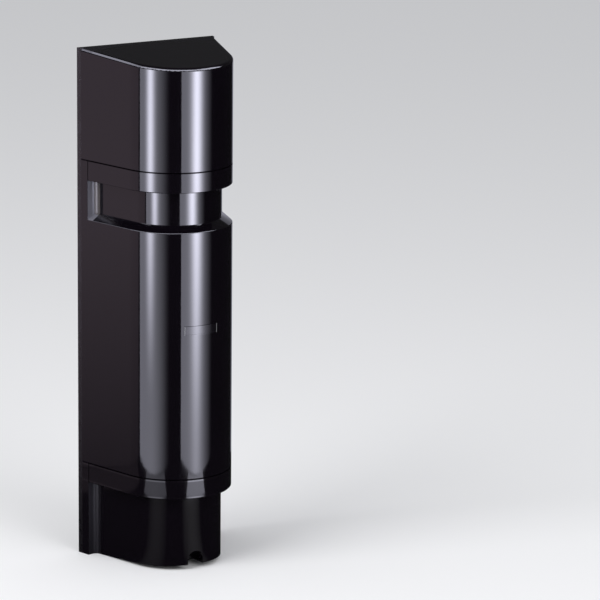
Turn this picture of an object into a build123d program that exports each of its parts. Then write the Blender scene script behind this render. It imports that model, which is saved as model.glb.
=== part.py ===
from build123d import *
from math import cos, radians, sin, tan
import os

os.makedirs("parts", exist_ok=True)

# Wall-mounted infrared beam detector, in millimetres.
# The wall plane is Y = 0, the front faces -Y, Z is up and X = 0 is the plane of symmetry.
# The origin is the middle of the four wall fixings. Levels are given above the foot of the chassis.

# Outer form of the cover
front_height = 453.3
depth = 106.0
nose_radius = 52.5
side_flare = 15.0
bottom_draft = 3.0
top_draft = 4.1
strip_depth = 13.0
wall = 3.0
top_edge_radius = 3.0
step_edge_radius = 0.8

# Steps of the cover, measured up the nose
base_height = 63.6
main_height = 243.0
neck_height = 35.7
band_height = 18.6
recess_depth = 9.3
recess_corner_radius = 4.5
ledge_slope = 30.0
seam_width = 0.9
seam_depth = 1.5

# Screw channel under the nose
channel_radius = 7.5
channel_side = 5.0
channel_length = 18.0
channel_wall = 2.5
lock_screw_radius = 2.0
lock_head_radius = 3.6
lock_head_height = 2.6
lock_screw_reach = 16.0
lock_screw_height = 13.0
lock_slot_width = 0.9
lock_slot_depth = 1.0

# Blank plate on the nose
plate_width = 32.4
plate_height = 8.0
plate_thickness = 0.9
plate_rim = 0.7
plate_pocket = 0.3
plate_glue = 0.1
plate_level = 218.3

# Chassis
chassis_edge = 5.0
spigot_height = 1.6
spigot_wall = 2.0
fit_gap = 0.3
gasket_width = 1.6
gasket_depth = 1.5
gasket_inset = 0.9
back_pocket_depth = 2.0
back_rib = 3.0
back_rim = 6.0
mount_spacing_x = 84.0
mount_spacing_z = 298.0
mount_level = 185.0
mount_hole_radius = 2.75
mount_boss_radius = 7.0
mount_boss_height = 2.0
lock_pillar_radius = 4.2

# Cable entry
entry_level = 203.0
entry_radius = 11.0
grommet_bore = 4.5
grommet_flange = 3.0
grommet_flange_height = 2.0
grommet_neck_height = 4.0
grommet_neck_wall = 2.5

# Optical units: one in the head, one in the main block
head_room = 2.8
lower_level = 128.0
running_gap = 0.05
bracket_half_width = 20.0
bracket_thickness = 2.0
bracket_screw_inset = 6.0
bracket_screw_level = 35.0
arm_half_width = 12.0
arm_gap = 1.0
pan_pin_radius = 3.0
pan_pin_head = 5.0
pan_pin_head_height = 1.2
frame_half_depth = 9.0
frame_thickness = 2.5
tilt_pin_radius = 2.5
tilt_pin_clearance = 1.5
bearing_radius = 6.0
housing_end_gap = 4.0
housing_side_gap = 6.0
housing_margin = 2.0
housing_corner = 3.0
housing_front = 14.0
housing_back = 12.0
barrel_reach = 34.0
barrel_wall = 2.0
lens_spacing = 46.0
lens_radius = 17.0
lens_edge = 3.0
lens_crown = 3.5
lens_seat_depth = 4.0
lens_ledge = 1.5
cone_throat = 4.0
throat_gap = 1.0
finder_half_height = 3.6
finder_reach = 30.0
finder_hole = 2.0
finder_hole_inset = 5.0
finder_wall = 4.0
seat_gap = 0.02
optics_board_inset = 3.0
optics_screw_inset = 3.0
board_thickness = 1.6
board_corner = 2.0
board_slot_gap = 0.5
emitter_radius = 2.5
emitter_length = 7.0
small_screw_radius = 1.25
small_head_radius = 2.4
small_head_height = 1.6
small_slot_width = 0.6

# Tilt adjuster
screw_offset = 28.0
screw_rise = 12.0
screw_radius = 2.0
wheel_radius = 6.0
wheel_height = 4.0
wheel_flutes = 12
flute_radius = 0.8
nut_half = 4.0
nut_half_height = 3.0
trunnion_radius = 1.5
fork_gap = 0.5
fork_thickness = 3.0
fork_half_height = 4.5
fork_reach = 33.0
fork_slot_start = 23.0

# Control board
board_width = 76.0
board_height = 92.0
board_bottom = 228.0
standoff_height = 8.0
standoff_radius = 3.5
board_hole_inset = 5.0
terminal_ways = 8
terminal_pitch = 7.6
terminal_margin = 1.6
terminal_inset = 4.0
terminal_depth = 12.0
terminal_height = 15.0
terminal_screw_radius = 2.2
terminal_screw_height = 3.0
terminal_screw_level = 9.0
terminal_slot_width = 0.7
terminal_slot_depth = 0.8
terminal_wire_width = 4.6
terminal_wire_depth = 4.0
shield_width = 34.0
shield_height = 40.0
shield_depth = 9.0
shield_wall = 0.8
shield_x = -14.0
shield_level = 292.0
relay_width = 16.0
relay_height = 20.0
relay_depth = 11.0
relay_x = 22.0
relay_level = 296.0
relay_edge_radius = 0.8
dial_base = 10.0
dial_base_depth = 4.0
dial_radius = 4.2
dial_depth = 4.5
dial_slot_width = 1.0
dial_slot_depth = 1.2
dial_spindle_radius = 1.5
dial_x = 22.0
dial_level = 262.0
lamp_radius = 1.5
lamp_height = 4.0
lamp_pitch = 7.0
lamp_x = -14.0
lamp_level = 258.0

# Tamper switch, pressed by a rib of the closed cover
tamper_gap = 2.0
tamper_level = 262.0
tamper_width = 11.0
tamper_height = 8.0
tamper_depth = 14.0
plunger_radius = 1.5
plunger_proud = 3.5
plunger_sunk = 3.0
plunger_travel = 1.0
rib_thickness = 3.0
rib_reach = 15.0
rib_margin = 1.0

flare = radians(side_flare)
axis_y = nose_radius - depth
foot = -mount_level
rim_level = foot + (depth - strip_depth) * tan(radians(bottom_draft))
base_top = rim_level + base_height
lower_seam = base_top + band_height
main_top = base_top + main_height
head_bottom = main_top + neck_height
upper_seam = head_bottom + band_height
front_top = rim_level + front_height
back_top = front_top + (depth - chassis_edge) * tan(radians(top_draft))
total_height = back_top - foot
ledge_height = recess_depth * tan(radians(ledge_slope))
overshoot = 1.0

# Sizes of an optical unit that follow from its lenses
barrel_radius = lens_radius + barrel_wall
cone_mouth = lens_radius - lens_ledge
finder_half_width = barrel_radius
housing_half_width = barrel_radius + housing_margin
housing_half_height = lens_spacing / 2 + barrel_radius
frame_half_width = housing_half_width + housing_side_gap + frame_thickness
frame_half_height = housing_half_height + housing_end_gap + frame_thickness
optics_board_width = 2 * (housing_half_width - optics_board_inset)
optics_board_height = 2 * (housing_half_height - optics_board_inset)
upper_level = front_height - head_room - frame_half_height


def flank(radial, along):
    """Point on the right flank, from its distance to the nose axis and the way along it."""
    x = radial * cos(flare) + along * sin(flare)
    y = axis_y - radial * sin(flare) + along * cos(flare)
    return (x, y)


def flank_way(radial, y):
    """Way along a flank at which it reaches a given depth."""
    return (y - axis_y + radial * sin(flare)) / cos(flare)


def half_width(inset, y):
    """Half width between the flanks at a given depth."""
    radial = nose_radius - inset
    return flank(radial, flank_way(radial, y))[0]


def cover_outline(level, inset, recess, back, corner=0):
    """Half-round nose with flaring flanks, stepped in by the recess in front of the rear strip."""
    outer = nose_radius - inset
    inner = outer - recess
    step = flank_way(nose_radius, -strip_depth) + inset
    right = [flank(inner, 0)]
    if recess > 0:
        right.append(flank(inner, step))
        right.append(flank(outer, step))
    right.append(flank(outer, flank_way(outer, back)))
    left = [(-x, y) for x, y in reversed(right)]
    with BuildSketch(Plane.XY.offset(level)) as outline:
        with BuildLine():
            ThreePointArc(left[-1], (0, axis_y - inner), right[0])
            Polyline(*right, *left)
        make_face()
        if corner > 0:
            step_x = flank(inner, step)[0]
            fillet(outline.vertices().filter_by(lambda v: abs(abs(v.X) - step_x) < 0.01), corner)
    return outline.sketch


def moulded_form(inset, back, corner):
    """Base, main block, sloping ledge, neck, head and rear strip as one closed form."""
    extrude(cover_outline(foot + inset, inset, recess_depth, back, corner), amount=total_height)
    extrude(cover_outline(base_top + inset, inset, 0, back), amount=main_height - 2 * inset)
    extrude(cover_outline(main_top - inset, inset, 0, back), amount=ledge_height, taper=90 - ledge_slope)
    extrude(cover_outline(head_bottom + inset, inset, 0, back), amount=back_top - head_bottom)
    split(bisect_by=top_plane.offset(-inset), keep=Keep.BOTTOM)
    split(bisect_by=bottom_plane.offset(inset), keep=Keep.TOP)


top_plane = Plane(origin=(0, -depth, front_top), x_dir=(1, 0, 0),
                  z_dir=(0, -sin(radians(top_draft)), cos(radians(top_draft))))
bottom_plane = Plane(origin=(0, -strip_depth, foot), x_dir=(1, 0, 0),
                     z_dir=(0, sin(radians(bottom_draft)), cos(radians(bottom_draft))))


def seam(level, low):
    """Groove round the nose at a level, closed at the rear strip by a short upright groove."""
    ring = cover_outline(level - seam_width, -overshoot, 0, -strip_depth)
    ring -= cover_outline(level - seam_width, seam_depth, 0, -chassis_edge)
    extrude(ring, amount=seam_width, mode=Mode.SUBTRACT)
    corner = flank(nose_radius, flank_way(nose_radius, -strip_depth) - seam_width / 2)
    for side in (1, -1):
        with BuildSketch(Plane.XY.offset(low)) as mark:
            with Locations(Location((side * corner[0], corner[1]), -side * side_flare)):
                Rectangle(2 * seam_depth, seam_width)
        extrude(mark.sketch, amount=level - low, mode=Mode.SUBTRACT)


def arch(distance, radius, top, foot):
    """Half-round arch on a straight-sided foot, on an upright plane in front of the wall."""
    with BuildSketch(Plane.XZ.offset(distance)) as opening:
        with BuildLine():
            ThreePointArc((radius, top), (0, top + radius), (-radius, top))
            Polyline((-radius, top), (-radius, foot), (radius, foot), (radius, top))
        make_face()
    return opening.sketch


def sector(level, low, high, half_angle):
    """Slice of a ring round the nose axis, facing forward."""
    def at(radius, angle):
        return (radius * sin(angle), axis_y - radius * cos(angle))
    with BuildSketch(Plane.XY.offset(level)) as slice_of_ring:
        with BuildLine():
            ThreePointArc(at(low, -half_angle), at(low, 0), at(low, half_angle))
            Line(at(low, half_angle), at(high, half_angle))
            ThreePointArc(at(high, half_angle), at(high, 0), at(high, -half_angle))
            Line(at(high, -half_angle), at(low, -half_angle))
        make_face()
    return slice_of_ring.sketch


def bar(distance, length, radius, x, level, mode=Mode.ADD):
    """Round bar along the depth, from a distance in front of the wall towards it."""
    with BuildSketch(Plane.XZ.offset(distance)) as circle:
        with Locations((x, level)):
            Circle(radius)
    extrude(circle.sketch, amount=-length, mode=mode)


def block(x, y, z, mode=Mode.ADD):
    """Box between pairs of coordinates along each axis."""
    with BuildSketch(Plane.XY.offset(z[0])) as base:
        with Locations(((x[0] + x[1]) / 2, (y[0] + y[1]) / 2)):
            Rectangle(x[1] - x[0], y[1] - y[0])
    extrude(base.sketch, amount=z[1] - z[0], mode=mode)


# Front cover: a one-piece smoked moulding
channel_axis = rim_level - recess_depth * tan(radians(bottom_draft)) + channel_side
channel_mouth = depth - recess_depth
channel_end = channel_mouth - channel_length
channel_back = channel_end - channel_wall
lock_level = foot + lock_screw_height
tamper_z = foot + tamper_level
plunger_tip = chassis_edge + tamper_depth + plunger_proud
tamper_face = chassis_edge + tamper_depth
tamper_x = half_width(wall, -tamper_face) - tamper_gap - tamper_width / 2
rib_foot = plunger_tip + fit_gap
rib_tip = rib_foot + rib_reach
rib_inner = tamper_x - plunger_radius - rib_margin


def on_outer_step(edge):
    """Whether an edge is the outer edge of the ledge, of the head's underside or of the main block's."""
    middle = edge.position_at(0.5)
    level = min(abs(middle.Z - step) for step in (base_top, main_top, head_bottom)) < fit_gap / 10
    outer = abs(middle.X) > half_width(recess_depth / 2, middle.Y) if middle.Y > axis_y else (
        abs(middle.X) ** 2 + (middle.Y - axis_y) ** 2 > (nose_radius - recess_depth / 2) ** 2)
    return level and outer and middle.Y < -strip_depth - fit_gap


with BuildPart() as cavity:
    moulded_form(wall, overshoot - chassis_edge, 0)

with BuildPart() as front_cover:
    moulded_form(0, -chassis_edge, recess_corner_radius)
    top_edges = front_cover.faces().sort_by(Axis.Z)[-1].edges().filter_by(
        lambda e: e.center().Y < -chassis_edge - 0.01)
    fillet(top_edges, top_edge_radius)
    step_edges = front_cover.edges().filter_by(on_outer_step)
    fillet(step_edges, step_edge_radius)
    add(cavity.part, mode=Mode.SUBTRACT)
    extrude(arch(channel_mouth - wall / 2, channel_radius + channel_wall, channel_axis, foot),
            amount=-(channel_mouth - wall / 2 - channel_back))
    split(bisect_by=bottom_plane, keep=Keep.TOP)
    extrude(arch(depth, channel_radius, channel_axis, foot - overshoot), amount=-(depth - channel_end),
            mode=Mode.SUBTRACT)
    bar(depth, depth - channel_back + overshoot, lock_screw_radius + running_gap, 0, lock_level,
        Mode.SUBTRACT)
    with BuildSketch(Plane.XY.offset(tamper_z - rib_thickness / 2)):
        with BuildLine():
            Polyline((rib_inner, -rib_foot), (half_width(wall / 2, -rib_foot), -rib_foot),
                     (half_width(wall / 2, -rib_tip), -rib_tip), (rib_inner, -rib_tip), close=True)
        make_face()
    extrude(amount=rib_thickness)
    seam(upper_seam, head_bottom)
    seam(lower_seam, base_top)

front_cover.part.label = "front_cover"
export_step(front_cover.part, "parts/front_cover.step")

# Blank plate bent round the nose, with a raised rim
plate_z = rim_level + plate_level - plate_height / 2
plate_seat = nose_radius + plate_glue
plate_face = plate_seat + plate_thickness
plate_angle = plate_width / 2 / nose_radius
rim_angle = plate_rim / nose_radius

with BuildPart() as nameplate:
    extrude(sector(plate_z, plate_seat, plate_face, plate_angle), amount=plate_height)
    sunk_field = sector(plate_z + plate_rim, plate_face - plate_pocket, plate_face + overshoot,
                        plate_angle - rim_angle)
    extrude(sunk_field, amount=plate_height - 2 * plate_rim, mode=Mode.SUBTRACT)

nameplate.part.label = "nameplate"
export_step(nameplate.part, "parts/nameplate.step")

# Slotted screw that holds the cover, captive in the end wall of the channel
with BuildPart() as cover_lock_screw:
    bar(channel_end + lock_head_height, lock_head_height, lock_head_radius, 0, lock_level)
    bar(channel_end, lock_screw_reach, lock_screw_radius, 0, lock_level)
    block((-lock_head_radius, lock_head_radius),
          (-channel_end - lock_head_height - overshoot, -channel_end - lock_head_height + lock_slot_depth),
          (lock_level - lock_slot_width / 2, lock_level + lock_slot_width / 2), Mode.SUBTRACT)

cover_lock_screw.part.label = "cover_lock_screw"
export_step(cover_lock_screw.part, "parts/cover_lock_screw.step")

# Rear chassis: plate, spigot, wall fixings, cable hole, pillar of the lock screw and board posts
shoulder_half = half_width(0, -chassis_edge)
spigot_front = chassis_edge + spigot_height
spigot_half = half_width(wall, -spigot_front) - fit_gap
spigot_low = foot + wall + fit_gap
spigot_high = front_top + (depth - spigot_front) * tan(radians(top_draft)) - wall - fit_gap
mount_places = [(side * mount_spacing_x / 2, end * mount_spacing_z / 2)
                for side in (-1, 1) for end in (-1, 1)]
entry_z = foot + entry_level
pillar_front = channel_back - fit_gap
screw_end = channel_end - lock_screw_reach
board_low = foot + board_bottom
board_high = board_low + board_height
board_middle = (board_low + board_high) / 2
board_back = chassis_edge + standoff_height
board_front = board_back + board_thickness
post_x = board_width / 2 - board_hole_inset
post_z = board_height / 2 - board_hole_inset
unit_levels = {"upper": foot + upper_level, "lower": foot + lower_level}
bracket_screw_x = bracket_half_width - bracket_screw_inset


def frame_ring(distance, half, low, high, width, length, mode):
    """Rectangular ring on an upright plane, given its outer half width and levels."""
    with BuildSketch(Plane.XZ.offset(distance)) as ring:
        with Locations((0, (low + high) / 2)):
            Rectangle(2 * half, high - low)
            Rectangle(2 * (half - width), high - low - 2 * width, mode=Mode.SUBTRACT)
    extrude(ring.sketch, amount=length, mode=mode)


with BuildPart() as rear_chassis:
    with BuildSketch(Plane.XY.offset(foot)):
        with BuildLine():
            Polyline((shoulder_half, -chassis_edge), (half_width(0, 0), 0), (-half_width(0, 0), 0),
                     (-shoulder_half, -chassis_edge), close=True)
        make_face()
    extrude(amount=total_height)
    frame_ring(chassis_edge, spigot_half, spigot_low, spigot_high, spigot_wall, spigot_height, Mode.ADD)
    frame_ring(chassis_edge, shoulder_half - gasket_inset, foot + gasket_inset, back_top - gasket_inset,
               gasket_width, -gasket_depth, Mode.SUBTRACT)
    with BuildSketch(Plane.XZ) as back_pockets:
        pocket_width = shoulder_half - back_rim - back_rib / 2
        pocket_height = (total_height - 2 * back_rim - 3 * back_rib) / 4
        with Locations((0, foot + total_height / 2)):
            with GridLocations(pocket_width + back_rib, pocket_height + back_rib, 2, 4):
                Rectangle(pocket_width, pocket_height)
        with Locations(*mount_places):
            Circle(mount_boss_radius, mode=Mode.SUBTRACT)
        with Locations((0, entry_z)):
            Circle(entry_radius + back_rim, mode=Mode.SUBTRACT)
        with Locations((0, lock_level)):
            Circle(lock_pillar_radius + back_rib, mode=Mode.SUBTRACT)
    extrude(amount=back_pocket_depth, mode=Mode.SUBTRACT)
    for x, z in mount_places:
        bar(chassis_edge + mount_boss_height, mount_boss_height, mount_boss_radius, x, z)
    for x, z in mount_places:
        bar(chassis_edge + mount_boss_height, chassis_edge + mount_boss_height, mount_hole_radius, x, z,
            Mode.SUBTRACT)
    bar(chassis_edge, chassis_edge, entry_radius, 0, entry_z, Mode.SUBTRACT)
    bar(pillar_front, pillar_front - chassis_edge, lock_pillar_radius, 0, lock_level)
    bar(pillar_front, pillar_front - screw_end + overshoot, lock_screw_radius + running_gap, 0, lock_level,
        Mode.SUBTRACT)
    for side in (-1, 1):
        for end in (-1, 1):
            bar(board_back, standoff_height, standoff_radius, side * post_x, board_middle + end * post_z)
            bar(board_back, standoff_height, small_screw_radius, side * post_x, board_middle + end * post_z,
                Mode.SUBTRACT)
            for level in unit_levels.values():
                bar(chassis_edge, back_pocket_depth, small_screw_radius, side * bracket_screw_x,
                    level + end * bracket_screw_level, Mode.SUBTRACT)

rear_chassis.part.label = "rear_chassis"
export_step(rear_chassis.part, "parts/rear_chassis.step")

# Rubber gasket in the groove that the cover's rim closes on
with BuildPart() as cover_gasket:
    frame_ring(chassis_edge, shoulder_half - gasket_inset, foot + gasket_inset, back_top - gasket_inset,
               gasket_width, -gasket_depth, Mode.ADD)

cover_gasket.part.label = "cover_gasket"
export_step(cover_gasket.part, "parts/cover_gasket.step")

# Rubber grommet of the cable entry
grommet_face = chassis_edge + grommet_flange_height

with BuildPart() as wiring_grommet:
    bar(chassis_edge, chassis_edge, entry_radius, 0, entry_z)
    bar(grommet_face, grommet_flange_height, entry_radius + grommet_flange, 0, entry_z)
    bar(grommet_face + grommet_neck_height, grommet_neck_height, grommet_bore + grommet_neck_wall, 0, entry_z)
    bar(grommet_face + grommet_neck_height, grommet_face + grommet_neck_height, grommet_bore, 0, entry_z,
        Mode.SUBTRACT)

wiring_grommet.part.label = "wiring_grommet"
export_step(wiring_grommet.part, "parts/wiring_grommet.step")


def small_screw(face, shank, x, level):
    """Pan-head screw along the depth, its head on a face that lies a distance in front of the wall."""
    bar(face + small_head_height, small_head_height, small_head_radius, x, level)
    bar(face, shank, small_screw_radius, x, level)
    block((x - small_head_radius, x + small_head_radius),
          (-face - small_head_height - overshoot, -face - small_head_height / 2),
          (level - small_slot_width / 2, level + small_slot_width / 2), Mode.SUBTRACT)


def pivot(x, y, z, radius, length, axis, mode=Mode.ADD):
    """Round bar centred on a point, along X or Z."""
    plane = Plane(origin=(x, y, z), z_dir=axis)
    with BuildSketch(plane.offset(-length / 2)) as circle:
        Circle(radius)
    extrude(circle.sketch, amount=length, mode=mode)


across = (1, 0, 0)
up = (0, 0, 1)
arm_low = frame_half_height + arm_gap
arm_high = arm_low + bracket_thickness
bracket_front = chassis_edge + bracket_thickness
frame_inner_height = frame_half_height - frame_thickness
frame_inner_width = frame_half_width - frame_thickness
boss_reach = frame_inner_width - fork_gap
housing_back_y = axis_y + housing_back
screw_y = axis_y + screw_offset
lens_places = (-lens_spacing / 2, lens_spacing / 2)


def build_bracket(unit, level):
    """Pressed steel bracket with an arm above and below the unit."""
    with BuildPart() as bracket:
        block((-bracket_half_width, bracket_half_width), (-bracket_front, -chassis_edge),
              (level - arm_high, level + arm_high))
        for low in (level - arm_high, level + arm_low):
            block((-arm_half_width, arm_half_width), (axis_y, -chassis_edge), (low, low + bracket_thickness))
            pivot(0, axis_y, low + bracket_thickness / 2, arm_half_width, bracket_thickness, up)
        pivot(0, axis_y, level, pan_pin_radius, 2 * arm_high, up, Mode.SUBTRACT)
        for side in (-1, 1):
            for end in (-1, 1):
                bar(bracket_front, bracket_thickness, small_screw_radius, side * bracket_screw_x,
                    level + end * bracket_screw_level, Mode.SUBTRACT)
    bracket.part.label = unit + "_bracket"
    export_step(bracket.part, "parts/" + unit + "_bracket.step")


def build_pan_pins(unit, level):
    """Headed pins through the arms, on which the unit swings."""
    with BuildPart() as pins:
        for side in (-1, 1):
            length = arm_high - frame_inner_height
            pivot(0, axis_y, level + side * (arm_high + frame_inner_height) / 2, pan_pin_radius, length, up)
            pivot(0, axis_y, level + side * (arm_high + pan_pin_head_height / 2), pan_pin_head,
                  pan_pin_head_height, up)
    pins.part.label = unit + "_pan_pins"
    export_step(pins.part, "parts/" + unit + "_pan_pins.step")


def build_pan_washers(unit, level):
    """Washers between the arms and the frame."""
    with BuildPart() as washers:
        for side in (-1, 1):
            middle = level + side * (frame_half_height + arm_gap / 2 + running_gap)
            pivot(0, axis_y, middle, 2 * pan_pin_radius, arm_gap - 2 * running_gap, up)
        pivot(0, axis_y, level, pan_pin_radius, 2 * arm_high, up, Mode.SUBTRACT)
    washers.part.label = unit + "_pan_washers"
    export_step(washers.part, "parts/" + unit + "_pan_washers.step")


def build_pan_frame(unit, level):
    """Moulded frame that pans, with the bearing of the tilt screw at its foot."""
    with BuildPart() as frame:
        with BuildSketch(Plane.XZ.offset(-axis_y + frame_half_depth)) as ring:
            with Locations((0, level)):
                RectangleRounded(2 * frame_half_width, 2 * frame_half_height, frame_thickness)
                Rectangle(2 * frame_inner_width, 2 * frame_inner_height, mode=Mode.SUBTRACT)
        extrude(ring.sketch, amount=-2 * frame_half_depth)
        block((-wheel_radius, wheel_radius), (axis_y, screw_y),
              (level - frame_half_height, level - frame_inner_height))
        pivot(0, screw_y, level - frame_half_height + frame_thickness / 2, wheel_radius, frame_thickness, up)
        pivot(0, axis_y, level, pan_pin_radius + running_gap, 2 * arm_high, up, Mode.SUBTRACT)
        pivot(0, axis_y, level, tilt_pin_radius, 3 * frame_half_width, across, Mode.SUBTRACT)
        pivot(0, screw_y, level - frame_half_height, screw_radius + running_gap, 4 * frame_thickness, up,
              Mode.SUBTRACT)
    frame.part.label = unit + "_pan_frame"
    export_step(frame.part, "parts/" + unit + "_pan_frame.step")


def build_tilt_pins(unit, level):
    """Pins across the frame, on which the lens housing tilts."""
    with BuildPart() as pins:
        for side in (-1, 1):
            length = frame_half_width - housing_half_width - tilt_pin_clearance
            pivot(side * (frame_half_width - length / 2), axis_y, level, tilt_pin_radius, length, across)
    pins.part.label = unit + "_tilt_pins"
    export_step(pins.part, "parts/" + unit + "_tilt_pins.step")


def build_lens_housing(unit, level):
    """Housing with two lens barrels, two light cones, side bearings and a fork at its back."""
    with BuildPart() as housing:
        block((-housing_half_width, housing_half_width), (axis_y - housing_front, housing_back_y),
              (level - housing_half_height, level + housing_half_height))
        fillet(housing.edges().filter_by(Axis.Y), housing_corner)
        for place in lens_places:
            bar(-axis_y + barrel_reach, barrel_reach - housing_front, barrel_radius, 0, level + place)
        pivot(0, axis_y, level, bearing_radius, 2 * boss_reach, across)
        for side in (-1, 1):
            prong = side * (nut_half + fork_gap + fork_thickness / 2)
            block((prong - fork_thickness / 2, prong + fork_thickness / 2),
                  (housing_back_y, axis_y + fork_reach),
                  (level - fork_half_height, level + fork_half_height))
        for place in lens_places:
            bar(-axis_y + barrel_reach, lens_seat_depth, lens_radius, 0, level + place, Mode.SUBTRACT)
            with BuildSketch(Plane.XZ.offset(-axis_y + barrel_reach - lens_seat_depth)) as mouth:
                with Locations((0, level + place)):
                    Circle(cone_mouth)
            with BuildSketch(Plane.XZ.offset(-axis_y - housing_back + emitter_length + throat_gap)) as throat:
                with Locations((0, level + place)):
                    Circle(cone_throat)
            loft([mouth.sketch, throat.sketch], mode=Mode.SUBTRACT)
            bar(-axis_y, housing_back, cone_throat, 0, level + place, Mode.SUBTRACT)
        block((-2 * nut_half - fork_thickness, 2 * nut_half + fork_thickness),
              (axis_y + fork_slot_start, axis_y + fork_reach),
              (level - trunnion_radius - 2 * running_gap, level + trunnion_radius + 2 * running_gap),
              Mode.SUBTRACT)
        for side in (-1, 1):
            depth_of_hole = boss_reach - housing_half_width + tilt_pin_clearance
            pivot(side * (boss_reach - depth_of_hole / 2), axis_y, level, tilt_pin_radius + running_gap,
                  depth_of_hole, across, Mode.SUBTRACT)
    housing.part.label = unit + "_lens_housing"
    export_step(housing.part, "parts/" + unit + "_lens_housing.step")


def build_lens(unit, which, level, place):
    """Plano-convex lens in its seat at the front of a barrel."""
    seat = -barrel_reach + lens_seat_depth
    side_plane = Plane(origin=(0, axis_y, level + place), x_dir=(0, 1, 0), z_dir=(1, 0, 0))
    with BuildPart() as lens:
        with BuildSketch(side_plane):
            with BuildLine():
                Polyline((seat - lens_edge, lens_radius), (seat, lens_radius), (seat, 0),
                         (seat - lens_edge - lens_crown, 0))
                RadiusArc((seat - lens_edge, lens_radius), (seat - lens_edge - lens_crown, 0),
                          -(lens_radius ** 2 + lens_crown ** 2) / 2 / lens_crown)
            make_face()
        revolve(axis=Axis((0, axis_y, level + place), (0, 1, 0)))
    lens.part.label = unit + "_" + which + "_lens"
    export_step(lens.part, "parts/" + unit + "_" + which + "_lens.step")


def build_viewfinder(unit, level):
    """Sighting block between the barrels, with an eye at each side and a window in front."""
    front = -axis_y + finder_reach
    with BuildPart() as finder:
        block((-finder_half_width, finder_half_width), (-front, axis_y - housing_front),
              (level - finder_half_height, level + finder_half_height))
        for place in lens_places:
            bar(front, finder_reach, barrel_radius + seat_gap, 0, level + place, Mode.SUBTRACT)
        for side in (-1, 1):
            bar(front, finder_reach - housing_front - finder_wall, finder_hole,
                side * (finder_half_width - finder_hole_inset), level, Mode.SUBTRACT)
    finder.part.label = unit + "_viewfinder"
    export_step(finder.part, "parts/" + unit + "_viewfinder.step")


def build_optics_board(unit, level):
    """Board screwed to the back of the housing, with a slot for the fork."""
    with BuildPart() as board:
        with BuildSketch(Plane.XZ.offset(-housing_back_y)) as outline:
            with Locations((0, level)):
                RectangleRounded(optics_board_width, optics_board_height, board_corner)
                Rectangle(2 * (nut_half + fork_gap + fork_thickness + board_slot_gap),
                          2 * (fork_half_height + board_slot_gap), mode=Mode.SUBTRACT)
            for x, z in optics_screws:
                with Locations((x, level + z)):
                    Circle(small_screw_radius, mode=Mode.SUBTRACT)
        extrude(outline.sketch, amount=-board_thickness)
    board.part.label = unit + "_optics_board"
    export_step(board.part, "parts/" + unit + "_optics_board.step")


def build_emitters(unit, level):
    """Infrared diodes standing in the throats of the cones."""
    with BuildPart() as emitters:
        for place in lens_places:
            bar(-housing_back_y + emitter_length, emitter_length, emitter_radius, 0, level + place)
        fillet(emitters.faces().sort_by(Axis.Y)[:2].edges(), emitter_radius * 0.9)
    emitters.part.label = unit + "_emitters"
    export_step(emitters.part, "parts/" + unit + "_emitters.step")


def build_tilt_screw(unit, level):
    """Tilt screw with a fluted thumb wheel that stands on the frame's bearing."""
    foot_z = level - frame_half_height
    wheel_z = level - frame_inner_height + running_gap
    with BuildPart() as screw:
        pivot(0, screw_y, (foot_z + level + screw_rise) / 2, screw_radius, level + screw_rise - foot_z, up)
        with BuildSketch(Plane(origin=(0, screw_y, wheel_z))) as wheel:
            Circle(wheel_radius)
            with PolarLocations(wheel_radius, wheel_flutes):
                Circle(flute_radius, mode=Mode.SUBTRACT)
        extrude(wheel.sketch, amount=wheel_height)
    screw.part.label = unit + "_tilt_screw"
    export_step(screw.part, "parts/" + unit + "_tilt_screw.step")


def build_tilt_nut(unit, level):
    """Nut that climbs the tilt screw and carries the fork on two trunnions."""
    with BuildPart() as nut:
        block((-nut_half, nut_half), (screw_y - nut_half, screw_y + nut_half),
              (level - nut_half_height, level + nut_half_height))
        pivot(0, screw_y, level, trunnion_radius, 2 * (nut_half + fork_gap + fork_thickness), across)
        pivot(0, screw_y, level, screw_radius + running_gap, 4 * nut_half_height, up, Mode.SUBTRACT)
    nut.part.label = unit + "_tilt_nut"
    export_step(nut.part, "parts/" + unit + "_tilt_nut.step")


optics_screws = [(side * (optics_board_width / 2 - optics_screw_inset),
                  end * (optics_board_height / 2 - optics_screw_inset))
                 for side in (-1, 1) for end in (-1, 1)]

for unit, level in unit_levels.items():
    build_bracket(unit, level)
    build_pan_pins(unit, level)
    build_pan_washers(unit, level)
    build_pan_frame(unit, level)
    build_tilt_pins(unit, level)
    build_lens_housing(unit, level)
    build_lens(unit, "low", level, lens_places[0])
    build_lens(unit, "high", level, lens_places[1])
    build_viewfinder(unit, level)
    build_optics_board(unit, level)
    build_emitters(unit, level)
    build_tilt_screw(unit, level)
    build_tilt_nut(unit, level)

with BuildPart() as bracket_screws:
    for level in unit_levels.values():
        for side in (-1, 1):
            for end in (-1, 1):
                small_screw(bracket_front, bracket_thickness + back_pocket_depth - fit_gap,
                            side * bracket_screw_x, level + end * bracket_screw_level)

bracket_screws.part.label = "bracket_screws"
export_step(bracket_screws.part, "parts/bracket_screws.step")

# Control board and what stands on it
with BuildPart() as control_board:
    with BuildSketch(Plane.XZ.offset(board_back)) as outline:
        with Locations((0, board_middle)):
            RectangleRounded(board_width, board_height, board_corner)
            with GridLocations(2 * post_x, 2 * post_z, 2, 2):
                Circle(small_screw_radius, mode=Mode.SUBTRACT)
    extrude(amount=board_thickness)

control_board.part.label = "control_board"
export_step(control_board.part, "parts/control_board.step")

with BuildPart() as board_screws:
    for side in (-1, 1):
        for end in (-1, 1):
            small_screw(board_front, board_thickness + standoff_height - fit_gap, side * post_x,
                        board_middle + end * post_z)

board_screws.part.label = "board_screws"
export_step(board_screws.part, "parts/board_screws.step")

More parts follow.
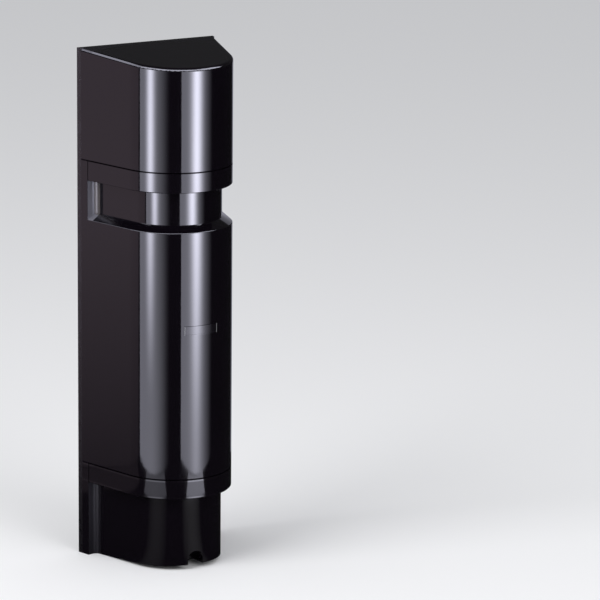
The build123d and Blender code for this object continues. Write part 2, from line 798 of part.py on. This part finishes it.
terminal_low = board_low + terminal_inset + board_hole_inset + small_head_radius
terminal_width = terminal_ways * terminal_pitch + 2 * terminal_margin
terminal_face = board_front + terminal_depth
terminal_z = terminal_low + terminal_screw_level
terminal_x = [(way - (terminal_ways - 1) / 2) * terminal_pitch for way in range(terminal_ways)]

with BuildPart() as terminal_block:
    block((-terminal_width / 2, terminal_width / 2), (-terminal_face, -board_front),
          (terminal_low, terminal_low + terminal_height))
    for x in terminal_x:
        bar(terminal_face, terminal_depth / 2, terminal_screw_radius, x, terminal_z, Mode.SUBTRACT)
        block((x - terminal_wire_width / 2, x + terminal_wire_width / 2),
              (-board_front - terminal_depth / 2, -board_front - terminal_depth / 2 + terminal_wire_depth),
              (terminal_low - overshoot, terminal_low + terminal_height / 2), Mode.SUBTRACT)

terminal_block.part.label = "terminal_block"
export_step(terminal_block.part, "parts/terminal_block.step")

with BuildPart() as terminal_screws:
    for x in terminal_x:
        screw_face = terminal_face - terminal_depth / 2 + terminal_screw_height
        bar(screw_face, terminal_screw_height, terminal_screw_radius - running_gap, x, terminal_z)
        block((x - terminal_screw_radius, x + terminal_screw_radius),
              (-screw_face - overshoot, -screw_face + terminal_slot_depth),
              (terminal_z - terminal_slot_width / 2, terminal_z + terminal_slot_width / 2), Mode.SUBTRACT)

terminal_screws.part.label = "terminal_screws"
export_step(terminal_screws.part, "parts/terminal_screws.step")

shield_z = foot + shield_level

with BuildPart() as board_shield:
    block((shield_x - shield_width / 2, shield_x + shield_width / 2),
          (-board_front - shield_depth, -board_front),
          (shield_z - shield_height / 2, shield_z + shield_height / 2))
    offset(amount=-shield_wall, openings=board_shield.faces().sort_by(Axis.Y)[-1])

board_shield.part.label = "board_shield"
export_step(board_shield.part, "parts/board_shield.step")

relay_z = foot + relay_level

with BuildPart() as alarm_relay:
    block((relay_x - relay_width / 2, relay_x + relay_width / 2), (-board_front - relay_depth, -board_front),
          (relay_z - relay_height / 2, relay_z + relay_height / 2))
    fillet(alarm_relay.faces().sort_by(Axis.Y)[0].edges(), relay_edge_radius)

alarm_relay.part.label = "alarm_relay"
export_step(alarm_relay.part, "parts/alarm_relay.step")

dial_z = foot + dial_level
dial_face = board_front + dial_base_depth

with BuildPart() as dial_socket:
    block((dial_x - dial_base / 2, dial_x + dial_base / 2), (-dial_face, -board_front),
          (dial_z - dial_base / 2, dial_z + dial_base / 2))
    bar(dial_face, dial_base_depth / 2, dial_spindle_radius + running_gap, dial_x, dial_z, Mode.SUBTRACT)

dial_socket.part.label = "dial_socket"
export_step(dial_socket.part, "parts/dial_socket.step")

with BuildPart() as response_dial:
    bar(dial_face + running_gap + dial_depth, dial_depth, dial_radius, dial_x, dial_z)
    bar(dial_face + running_gap, dial_base_depth / 2 - running_gap, dial_spindle_radius, dial_x, dial_z)
    block((dial_x - dial_radius, dial_x + dial_radius),
          (-dial_face - dial_depth - overshoot, -dial_face - dial_depth + dial_slot_depth),
          (dial_z - dial_slot_width / 2, dial_z + dial_slot_width / 2), Mode.SUBTRACT)

response_dial.part.label = "response_dial"
export_step(response_dial.part, "parts/response_dial.step")

lamp_z = foot + lamp_level

with BuildPart() as indicator_lamps:
    for place in (-1, 0, 1):
        bar(board_front + lamp_height, lamp_height, lamp_radius, lamp_x + place * lamp_pitch, lamp_z)
    fillet(indicator_lamps.faces().sort_by(Axis.Y)[:3].edges(), lamp_radius * 0.9)

indicator_lamps.part.label = "indicator_lamps"
export_step(indicator_lamps.part, "parts/indicator_lamps.step")

# Tamper switch on the chassis
with BuildPart() as tamper_switch:
    block((tamper_x - tamper_width / 2, tamper_x + tamper_width / 2), (-tamper_face, -chassis_edge),
          (tamper_z - tamper_height / 2, tamper_z + tamper_height / 2))
    bar(tamper_face, plunger_sunk + plunger_travel + fit_gap, plunger_radius + running_gap,
        tamper_x, tamper_z,
        Mode.SUBTRACT)

tamper_switch.part.label = "tamper_switch"
export_step(tamper_switch.part, "parts/tamper_switch.step")

with BuildPart() as tamper_plunger:
    bar(plunger_tip, plunger_proud + plunger_sunk, plunger_radius, tamper_x, tamper_z)
    fillet(tamper_plunger.faces().sort_by(Axis.Y)[0].edges(), plunger_radius / 3)

tamper_plunger.part.label = "tamper_plunger"
export_step(tamper_plunger.part, "parts/tamper_plunger.step")
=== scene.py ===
import bpy
from math import atan2, cos, pi, radians, sin, tan
from mathutils import Euler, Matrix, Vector


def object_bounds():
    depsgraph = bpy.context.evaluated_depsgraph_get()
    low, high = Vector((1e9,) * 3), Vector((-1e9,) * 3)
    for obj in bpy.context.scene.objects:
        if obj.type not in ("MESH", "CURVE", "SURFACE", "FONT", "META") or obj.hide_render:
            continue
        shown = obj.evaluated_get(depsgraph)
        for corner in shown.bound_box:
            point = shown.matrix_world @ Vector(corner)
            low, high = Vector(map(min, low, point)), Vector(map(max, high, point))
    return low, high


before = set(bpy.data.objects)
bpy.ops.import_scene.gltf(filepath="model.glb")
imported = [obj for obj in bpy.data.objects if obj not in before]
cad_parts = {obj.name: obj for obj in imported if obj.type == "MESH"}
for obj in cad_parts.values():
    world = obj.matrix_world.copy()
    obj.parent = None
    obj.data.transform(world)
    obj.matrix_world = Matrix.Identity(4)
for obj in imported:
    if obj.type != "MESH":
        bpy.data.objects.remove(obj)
cad_low, cad_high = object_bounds()
scene = bpy.context.scene

# Camera
FRAME_PIXELS = 600
SENSOR_MM = 36.0
CAMERA_PLACE = Vector((-1.6515, -3.1206, 0.8823))
CAMERA_YAW = radians(30.163)
CAMERA_PITCH = radians(-13.36)
CAMERA_ROLL = radians(0.533)
FOCAL_PIXELS = 4000.0
CLIP_END = 60.0


def add_camera():
    data = bpy.data.cameras.new("camera")
    data.sensor_width = SENSOR_MM
    data.lens = FOCAL_PIXELS / FRAME_PIXELS * SENSOR_MM
    data.clip_end = CLIP_END
    camera = bpy.data.objects.new("camera", data)
    camera.location = CAMERA_PLACE
    level = Euler((pi / 2 + CAMERA_PITCH, 0.0, -CAMERA_YAW), "XYZ").to_matrix()
    camera.rotation_euler = (level @ Euler((0.0, 0.0, CAMERA_ROLL)).to_matrix()).to_euler()
    scene.collection.objects.link(camera)
    scene.camera = camera


# Places that the materials of the cover and its plate use, in metres of the part
NOSE_AXIS = Vector((0.0, -0.0535, 0.0))
NOSE_RADIUS = 0.0525
SIDE_FLARE = radians(15.0)
STRIP_FRONT = -0.013               # the rear strip's front edge, and its place along the flank
STRIP_EDGE = (STRIP_FRONT - NOSE_AXIS.y + NOSE_RADIUS * sin(SIDE_FLARE)) / cos(SIDE_FLARE)
RECESS_SKIN = 0.0002               # points this far inside the flank's face count as recessed
# Painted glow: the recesses' end walls at the rear strip get a paler colour, standing in for light coming
# through the thin plastic
PAINTED_GLOW_REACH = 0.0064                # the painted glow starts this far forward of the strip's edge
PAINTED_GLOW_DEPTH = 0.0075                # the painted glow's bluish part goes this deep into the recess
NECK_LEVELS = (0.1265, 0.1622)
BASE_TOP = -0.1165
BASE_GLOW_FADE = 0.065                  # the painted glow dims over this height below the base's top
BASE_GLOW_SHARE = 0.15                  # what is left of the painted glow there
HOLLOW_ROUGHNESS = 0.38            # the zone of painted glow is less glossy
PLAIN_SHINE = 0.5
# Painted shade: a lowered specular level darkens the seam grooves
SEAM_LEVELS = (-0.09835, 0.18035)
SEAM_HALF_WIDTH = 0.0005
SEAM_PAINTED_SHADE = 0.1
LIP_LEVELS = (-0.0999, -0.1150)    # painted highlights: a raised specular level on the edges under the lower seam and at the band's foot
LIP_HALF_WIDTH = 0.0004
LIP_PAINTED_HIGHLIGHT = 2.2
LINE_BLUR = 0.0004
PLATE_MIDDLE = 0.0155              # the plate is dark this far to both sides
PLATE_BLUR = 0.0003


def fill(tree, socket, value):
    """Gives a socket a value, or links another node's output to it."""
    if isinstance(value, bpy.types.NodeSocket):
        tree.links.new(value, socket)
    else:
        socket.default_value = value


def number_math(tree, operation, first, second=0.0):
    """One step of arithmetic on numbers or outputs."""
    node = tree.nodes.new("ShaderNodeMath")
    node.operation = operation
    fill(tree, node.inputs[0], first)
    fill(tree, node.inputs[1], second)
    return node.outputs[0]


def vector_math(tree, operation, first, second=(0.0, 0.0, 0.0)):
    """The same on directions and places. Returns the node, since its result may be a number."""
    node = tree.nodes.new("ShaderNodeVectorMath")
    node.operation = operation
    fill(tree, node.inputs[0], first)
    fill(tree, node.inputs[1], second)
    return node


# Materials: each one is a node tree on object coordinates, which are metres of the part
class Finish:
    """A Principled material with short calls for the nodes that feed it."""

    def __init__(self, name, **values):
        self.material = bpy.data.materials.new(name)
        self.material.use_nodes = True
        self.tree = self.material.node_tree
        self.shader = self.tree.nodes["Principled BSDF"]
        self.place = self.tree.nodes.new("ShaderNodeTexCoord").outputs["Object"]
        for key, value in values.items():
            self.shader.inputs[key.replace("_", " ")].default_value = value

    def node(self, kind, **inputs):
        node = self.tree.nodes.new(kind)
        for key, value in inputs.items():
            fill(self.tree, node.inputs[key.replace("_", " ")], value)
        return node

    def noise(self, size, detail=3.0, stretch=(1.0, 1.0, 1.0)):
        """Noise whose features are about `size` metres across, longer along the axes with a small stretch."""
        mapping = self.node("ShaderNodeMapping", Vector=self.place, Scale=stretch)
        noise = self.node("ShaderNodeTexNoise", Vector=mapping.outputs[0], Scale=1.0 / size, Detail=detail)
        return noise.outputs["Fac"]

    def sum_up(self, operation, first, second=0.0):
        return number_math(self.tree, operation, first, second)

    def between(self, fac, low, high, start=0.35, stop=0.65):
        """A number that runs from low to high, by default over the middle of a noise."""
        node = self.node("ShaderNodeMapRange", Value=fac)
        node.inputs["From Min"].default_value = start
        node.inputs["From Max"].default_value = stop
        node.inputs["To Min"].default_value = low
        node.inputs["To Max"].default_value = high
        return node.outputs[0]

    def blend(self, fac, first, second):
        """A colour between two, by a factor."""
        node = self.tree.nodes.new("ShaderNodeMix")
        node.data_type = "RGBA"
        self.tree.links.new(fac, node.inputs["Factor"])
        for side, value in (("A", first), ("B", second)):
            fill(self.tree, next(s for s in node.inputs if s.name == side and s.type == "RGBA"), value)
        return next(s for s in node.outputs if s.type == "RGBA")

    def feed(self, socket, output):
        self.tree.links.new(output, self.shader.inputs[socket])

    def bump(self, height, depth):
        """Raises the surface by up to a depth in metres."""
        node = self.node("ShaderNodeBump", Height=height, Distance=depth)
        self.tree.links.new(node.outputs[0], self.shader.inputs["Normal"])


def colour(red, green, blue):
    return (red, green, blue, 1.0)


def smoked_plastic():
    """Gloss black with a plum cast. Where the recesses end at the rear strip, the end walls get a painted
    glow, a paler colour standing in for light coming through the thin plastic: bluish outside, brownish
    deeper in, dimmer in the base.
    The seams are duller than the faces, a painted shade, and two edges near the base have painted highlights."""
    finish = Finish("smoked_plastic", IOR=1.49)
    cloud = finish.noise(0.09, 2.0)
    body = finish.blend(cloud, colour(0.0024, 0.0016, 0.0030), colour(0.0034, 0.0024, 0.0042))
    split = finish.node("ShaderNodeSeparateXYZ", Vector=finish.place)
    across = finish.sum_up("ABSOLUTE", split.outputs["X"])
    back = finish.sum_up("SUBTRACT", split.outputs["Y"], NOSE_AXIS.y)
    level = split.outputs["Z"]
    radial = finish.sum_up("SUBTRACT", finish.sum_up("MULTIPLY", across, cos(SIDE_FLARE)),
                           finish.sum_up("MULTIPLY", back, sin(SIDE_FLARE)))
    along = finish.sum_up("ADD", finish.sum_up("MULTIPLY", across, sin(SIDE_FLARE)),
                          finish.sum_up("MULTIPLY", back, cos(SIDE_FLARE)))
    inside = finish.sum_up("LESS_THAN", radial, NOSE_RADIUS - RECESS_SKIN)
    near = finish.sum_up("GREATER_THAN", along, STRIP_EDGE - PAINTED_GLOW_REACH)
    hollow = finish.sum_up("MULTIPLY", inside, near)
    neck = finish.sum_up("MULTIPLY", finish.sum_up("GREATER_THAN", level, NECK_LEVELS[0]),
                         finish.sum_up("LESS_THAN", level, NECK_LEVELS[1]))
    wall = finish.sum_up("GREATER_THAN", radial, NOSE_RADIUS - PAINTED_GLOW_DEPTH)
    # Painted glow on the end walls: bluish outside, brownish deeper in
    pale = finish.blend(wall, colour(0.052, 0.046, 0.044), colour(0.120, 0.118, 0.140))
    body = finish.blend(finish.sum_up("MULTIPLY", hollow, neck), body, pale)
    # In the base the painted glow is dimmer
    base = finish.sum_up("MULTIPLY", hollow, finish.sum_up("LESS_THAN", level, BASE_TOP))
    glow_rise = finish.between(level, BASE_GLOW_SHARE, 1.0, BASE_TOP - BASE_GLOW_FADE, BASE_TOP)
    dimmed_painted_glow = finish.sum_up("MULTIPLY", finish.sum_up("MULTIPLY", base, wall), glow_rise)
    finish.feed("Base Color", finish.blend(dimmed_painted_glow, body, colour(0.020, 0.018, 0.024)))
    gloss = finish.between(finish.noise(0.035, 4.0), 0.045, 0.085)
    dull = finish.sum_up("MULTIPLY", hollow, HOLLOW_ROUGHNESS)
    finish.feed("Roughness", finish.sum_up("MAXIMUM", gloss, dull))
    shine = PLAIN_SHINE
    # The specular level is lowered on the seams as painted shade, and raised on the lip edges as painted
    # highlights
    lines = [(place, SEAM_PAINTED_SHADE, SEAM_HALF_WIDTH) for place in SEAM_LEVELS]
    lines += [(place, LIP_PAINTED_HIGHLIGHT, LIP_HALF_WIDTH) for place in LIP_LEVELS]
    for place, line_shine, half_width in lines:
        away = finish.sum_up("ABSOLUTE", finish.sum_up("SUBTRACT", level, place))
        on_line = finish.between(away, line_shine, 1.0, half_width, half_width + LINE_BLUR)
        shine = finish.sum_up("MULTIPLY", on_line, shine)
    finish.feed("Specular IOR Level", shine)
    finish.bump(finish.noise(0.012, 2.0), 0.00002)
    return finish.material


def moulded(name, base, roughness, depth=0.000006):
    """A moulded plastic: a slight cloud of colour, uneven gloss and a fine grain."""
    finish = Finish(name)
    darker = colour(*(0.8 * value for value in base))
    finish.feed("Base Color", finish.blend(finish.noise(0.03), darker, colour(*base)))
    finish.feed("Roughness", finish.between(finish.noise(0.01, 4.0), roughness - 0.06, roughness + 0.06))
    finish.bump(finish.noise(0.0012, 2.0), depth)
    return finish.material


def plate_film():
    """A gloss dark film, paler at its two ends."""
    finish = Finish("plate_film")
    split = finish.node("ShaderNodeSeparateXYZ", Vector=finish.place)
    side = finish.sum_up("ABSOLUTE", split.outputs["X"])
    end = finish.between(side, 0.0, 1.0, PLATE_MIDDLE, PLATE_MIDDLE + PLATE_BLUR)
    dark = finish.blend(finish.noise(0.01), colour(0.004, 0.003, 0.005), colour(0.006, 0.005, 0.007))
    finish.feed("Base Color", finish.blend(end, dark, colour(0.16, 0.16, 0.17)))
    finish.feed("Roughness", finish.between(finish.noise(0.01, 4.0), 0.10, 0.16))
    finish.bump(finish.noise(0.01, 2.0), 0.000005)
    return finish.material


def metal(name, base, roughness, stretch=(1.0, 1.0, 1.0)):
    """A plated metal with faint streaks along the axes that the stretch leaves long."""
    finish = Finish(name, Metallic=1.0)
    darker = colour(*(0.82 * value for value in base))
    finish.feed("Base Color", finish.blend(finish.noise(0.006, 4.0, stretch), darker, colour(*base)))
    worn = finish.noise(0.004, 3.0, stretch)
    finish.feed("Roughness", finish.between(worn, roughness - 0.05, roughness + 0.05))
    finish.bump(finish.noise(0.004, 1.0, stretch), 0.0000015)
    return finish.material


def lens_glass():
    finish = Finish("lens", IOR=1.49, Roughness=0.02, Transmission_Weight=1.0)
    tint = finish.blend(finish.noise(0.02), colour(0.93, 0.96, 0.97), colour(0.97, 0.98, 0.98))
    finish.feed("Base Color", tint)
    finish.bump(finish.noise(0.02, 1.0), 0.000005)
    return finish.material


def circuit_board():
    finish = Finish("circuit_board", Roughness=0.32)
    track = finish.noise(0.004, 1.0, (1.0, 1.0, 0.4))
    finish.feed("Base Color", finish.blend(track, colour(0.010, 0.085, 0.035), colour(0.020, 0.15, 0.060)))
    finish.bump(track, 0.00004)
    return finish.material


MAKERS = {
    "smoked_plastic": smoked_plastic,
    "plate_film": plate_film,
    "chassis_plastic": lambda: moulded("chassis_plastic", (0.006, 0.005, 0.007), 0.30),
    "rubber": lambda: moulded("rubber", (0.020, 0.020, 0.021), 0.75),
    "steel": lambda: metal("steel", (0.60, 0.59, 0.57), 0.30),
    "bracket_steel": lambda: metal("bracket_steel", (0.56, 0.55, 0.50), 0.36, (1.0, 1.0, 0.08)),
    "frame_plastic": lambda: moulded("frame_plastic", (0.030, 0.030, 0.032), 0.42),
    "housing_plastic": lambda: moulded("housing_plastic", (0.022, 0.022, 0.024), 0.38),
    "lens": lens_glass,
    "circuit_board": circuit_board,
    "terminal_plastic": lambda: moulded("terminal_plastic", (0.030, 0.030, 0.031), 0.40),
    "shield_metal": lambda: metal("shield_metal", (0.68, 0.67, 0.64), 0.28),
    "relay_plastic": lambda: moulded("relay_plastic", (0.022, 0.022, 0.025), 0.40),
    "dial_plastic": lambda: moulded("dial_plastic", (0.75, 0.74, 0.70), 0.38),
    "nut_plastic": lambda: moulded("nut_plastic", (0.70, 0.69, 0.64), 0.42),
    "lamp_plastic": lambda: moulded("lamp_plastic", (0.55, 0.03, 0.02), 0.18, depth=0.000003),
    "diode_plastic": lambda: moulded("diode_plastic", (0.020, 0.018, 0.030), 0.15, depth=0.000003),
}


def dress_nodes():
    """Gives every carried-over node the finish of the record's slot that its plain material names."""
    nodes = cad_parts.items()
    plain = {name: [slot.material.name for slot in node.material_slots] for name, node in nodes}
    made = {slot: make() for slot, make in MAKERS.items()}
    for name, node in nodes:
        for slot, plain_name in zip(node.material_slots, plain[name]):
            slot.material = made[plain_name]


# Studio. Bearings are in degrees to the right of the camera, seen from the nose axis
TO_CAMERA = atan2(CAMERA_PLACE.x - NOSE_AXIS.x, NOSE_AXIS.y - CAMERA_PLACE.y)
FLOOR_SIZE = 60.0
FLOOR_COLOUR = (0.92, 0.92, 0.93)
ROOM_COLOUR = (0.92, 0.93, 0.95)
ROOM_LEVEL = 0.6              # the room's light on the part
ROOM_SHARE = 0.05             # how much of the room the reflections show
FLOOR_SHARE = 0.02            # how much of the floor they show
FLOOR_PAINTED_GLOWS = ((-35.0, 0.20), (41.0, 0.36))    # bearings where painted glows make the floor brighter in reflections, and how much
GLOW_EDGE = radians(22.0)     # a glow is gone this far from its bearing
GLOW_CORE = radians(2.0)      # and full this near
PANEL_DISTANCE = 0.36
PANEL_FOOT = 0.003            # heights above the floor
PANEL_TOP = 0.46
FADE_TOP = 0.25
FOOT_LIFT = 0.002
FOOT_DEPTH = 0.085
CROWN_FOOT = 0.09             # heights above the part
CROWN_TOP = 0.42
COOL = (0.84, 0.84, 1.0)
WARM = (1.0, 0.80, 0.94)


def outward(angle):
    """The level direction at an angle from the part's front, to the right."""
    return Vector((sin(angle), -cos(angle), 0.0))


def add_floor():
    mesh = bpy.data.meshes.new("floor")
    half = FLOOR_SIZE / 2
    corners = [(-half, -half, 0.0), (half, -half, 0.0), (half, half, 0.0), (-half, half, 0.0)]
    mesh.from_pydata(corners, [], [(0, 1, 2, 3)])
    floor = bpy.data.objects.new("floor", mesh)
    floor.location.z = cad_low[2]
    finish = Finish("floor_paper", Roughness=1.0, Specular_IOR_Level=0.0)
    path = finish.tree.nodes.new("ShaderNodeLightPath")
    from_axis = vector_math(finish.tree, "SUBTRACT", finish.place, NOSE_AXIS).outputs[0]
    unit = vector_math(finish.tree, "NORMALIZE", from_axis).outputs[0]
    share = FLOOR_SHARE
    # Painted light: pools on the floor under the two tall panels, seen only in reflections, since those lamps
    # don't light the floor
    for bearing, level in FLOOR_PAINTED_GLOWS:
        facing = vector_math(finish.tree, "DOT_PRODUCT", unit, outward(TO_CAMERA + radians(bearing)))
        glow = finish.between(facing.outputs["Value"], 0.0, level, cos(GLOW_EDGE), cos(GLOW_CORE))
        share = finish.sum_up("ADD", glow, share)
    tone = finish.blend(share, colour(0.0, 0.0, 0.0), colour(*FLOOR_COLOUR))
    finish.feed("Base Color", finish.blend(path.outputs["Is Glossy Ray"], colour(*FLOOR_COLOUR), tone))
    mesh.materials.append(finish.material)
    scene.collection.objects.link(floor)


def add_world():
    """A pale background, of which the reflections show a small share."""
    world = bpy.data.worlds.new("studio")
    world.use_nodes = True
    tree = world.node_tree
    background = tree.nodes["Background"]
    background.inputs["Color"].default_value = colour(*ROOM_COLOUR)
    path = tree.nodes.new("ShaderNodeLightPath")
    strength = ROOM_LEVEL
    for ray, level in (("Is Glossy Ray", ROOM_SHARE), ("Is Transmission Ray", 1.0), ("Is Camera Ray", 1.0)):
        node = tree.nodes.new("ShaderNodeMix")
        fill(tree, node.inputs["Factor"], path.outputs[ray])
        fill(tree, node.inputs["A"], strength)
        fill(tree, node.inputs["B"], level)
        strength = node.outputs["Result"]
    fill(tree, background.inputs["Strength"], strength)
    scene.world = world


def smooth_step(tree, value, low, high, low_level=0.0, high_level=1.0, smooth=True):
    """A number that goes from one level to another while a value goes from low to high."""
    node = tree.nodes.new("ShaderNodeMapRange")
    node.interpolation_type = "SMOOTHSTEP" if smooth else "LINEAR"
    tree.links.new(value, node.inputs["Value"])
    node.inputs["From Min"].default_value = low
    node.inputs["From Max"].default_value = high
    node.inputs["To Min"].default_value = low_level
    node.inputs["To Max"].default_value = high_level
    return node.outputs[0]


def facing_turn(direction):
    """The rotation that turns a lamp to shine in a direction."""
    return direction.to_track_quat("-Z", "Y").to_euler()


def panel_width(first, last, distance):
    """The width that fills the angle between two bearings at a distance."""
    return 2 * distance * tan(radians((last - first) / 2))


def panel_lamp(name, place, turn, width, height, level, tint):
    """An area lamp that only reflections show. Returns its node tree."""
    data = bpy.data.lights.new(name, "AREA")
    data.shape = "RECTANGLE"
    data.size = width
    data.size_y = height
    data.energy = pi * width * height * level
    data.color = tint
    data.use_nodes = True
    lamp = bpy.data.objects.new(name, data)
    lamp.location = place
    lamp.rotation_euler = turn
    lamp.visible_camera = False
    lamp.visible_diffuse = False
    scene.collection.objects.link(lamp)
    return data.node_tree


def add_panel(name, first, last, level, fade=0.0, hot=0.0, hot_bearing=0.0, hot_width=0.03, hot_fade=1.0,
              hot_foot=0.0, hot_top=0.33, tint=COOL):
    """A tall panel between two bearings. The hot line is where its tube stands, and past it the panel falls
    off to nothing. The fades dim the panel and the tube towards the floor."""
    middle = (first + last) / 2
    angle = TO_CAMERA + radians(middle)
    toward = outward(angle)
    width = panel_width(first, last, PANEL_DISTANCE)
    centre = NOSE_AXIS + toward * PANEL_DISTANCE
    centre.z = cad_low[2] + (PANEL_FOOT + PANEL_TOP) / 2
    tree = panel_lamp(name, centre, facing_turn(-toward), width, PANEL_TOP - PANEL_FOOT, 1.0, tint)
    place = tree.nodes.new("ShaderNodeNewGeometry").outputs["Position"]
    upright = tree.nodes.new("ShaderNodeSeparateXYZ")
    tree.links.new(place, upright.inputs[0])
    foot = cad_low[2] + PANEL_FOOT
    total = smooth_step(tree, upright.outputs["Z"], foot, cad_low[2] + FADE_TOP,
                        level * (1 - fade), level, smooth=False)
    if hot > 0:
        across = Vector((cos(angle), sin(angle), 0.0))
        along = vector_math(tree, "DOT_PRODUCT", place, across)
        hot_place = centre.dot(across) + PANEL_DISTANCE * tan(radians(hot_bearing - middle))
        end_place = centre.dot(across) + width / 2
        kept = smooth_step(tree, along.outputs["Value"], hot_place, end_place, 1.0, 0.0)
        total = number_math(tree, "MULTIPLY", total, kept)
        offset = number_math(tree, "SUBTRACT", along.outputs["Value"], hot_place)
        ratio = number_math(tree, "DIVIDE", offset, hot_width)
        square = number_math(tree, "MULTIPLY", ratio, ratio)
        falloff = number_math(tree, "EXPONENT", number_math(tree, "MULTIPLY", square, -1.0))
        rise = smooth_step(tree, upright.outputs["Z"], foot + hot_foot, cad_low[2] + hot_top,
                           hot * (1 - hot_fade), hot)
        total = number_math(tree, "ADD", total, number_math(tree, "MULTIPLY", falloff, rise))
    tree.links.new(total, tree.nodes["Emission"].inputs["Strength"])


def add_crown(name, first, last, level):
    """A panel above the others, which only the rounded edges show."""
    toward = outward(TO_CAMERA + radians((first + last) / 2))
    centre = NOSE_AXIS + toward * PANEL_DISTANCE
    centre.z = cad_high[2] + (CROWN_FOOT + CROWN_TOP) / 2
    width = panel_width(first, last, PANEL_DISTANCE)
    panel_lamp(name, centre, facing_turn(-toward), width, CROWN_TOP - CROWN_FOOT, level, COOL)


def add_foot(name, first, last, level, tint=COOL):
    """A strip lying inside the panels on the floor, which carries their reflections down to the base."""
    angle = TO_CAMERA + radians((first + last) / 2)
    distance = PANEL_DISTANCE - FOOT_DEPTH / 2
    centre = NOSE_AXIS + outward(angle) * distance
    centre.z = cad_low[2] + FOOT_LIFT
    turn = Euler((pi, 0.0, angle))
    panel_lamp(name, centre, turn, panel_width(first, last, distance), FOOT_DEPTH, level, tint)


def add_soft_lamp(name, bearing, distance, size, height, power):
    """A large soft lamp that lights the part and the floor."""
    data = bpy.data.lights.new(name, "AREA")
    data.shape = "DISK"
    data.size = size
    data.energy = power
    lamp = bpy.data.objects.new(name, data)
    angle = TO_CAMERA + radians(bearing)
    lamp.location = NOSE_AXIS + outward(angle) * distance + Vector((0.0, 0.0, height))
    lamp.rotation_euler = facing_turn(NOSE_AXIS - lamp.location)
    lamp.visible_camera = False
    lamp.visible_glossy = False
    scene.collection.objects.link(lamp)


add_camera()
dress_nodes()
add_floor()
add_world()
add_panel("left_panel", -65.0, -6.0, 3.5, hot=17.0, hot_bearing=-43.0, hot_width=0.045, hot_foot=0.06,
          hot_top=0.34)
add_panel("right_panel", 14.0, 77.0, 3.7, hot=21.0, hot_bearing=42.5, hot_width=0.06, hot_fade=0.85)
add_panel("left_fill", -125.0, -68.0, 0.58, fade=0.71, tint=WARM)
add_panel("right_rim", 150.0, 172.0, 0.4)
add_foot("left_foot", -52.0, -14.0, 1.1)
add_foot("right_foot", 26.0, 58.0, 3.4)
add_foot("flank_foot", -125.0, -68.0, 0.12, tint=WARM)
add_crown("left_crown", -125.0, -66.0, 5.0)
add_crown("front_crown", -65.0, -6.0, 10.0)
add_crown("middle_crown", -5.0, 50.0, 10.0)
add_crown("right_crown", 51.0, 100.0, 10.0)
add_soft_lamp("key", -50.0, 1.8, 1.6, 1.6, 30.0)
add_soft_lamp("front", 40.0, 2.2, 1.8, 1.2, 20.0)
scene.view_settings.view_transform = "Standard"
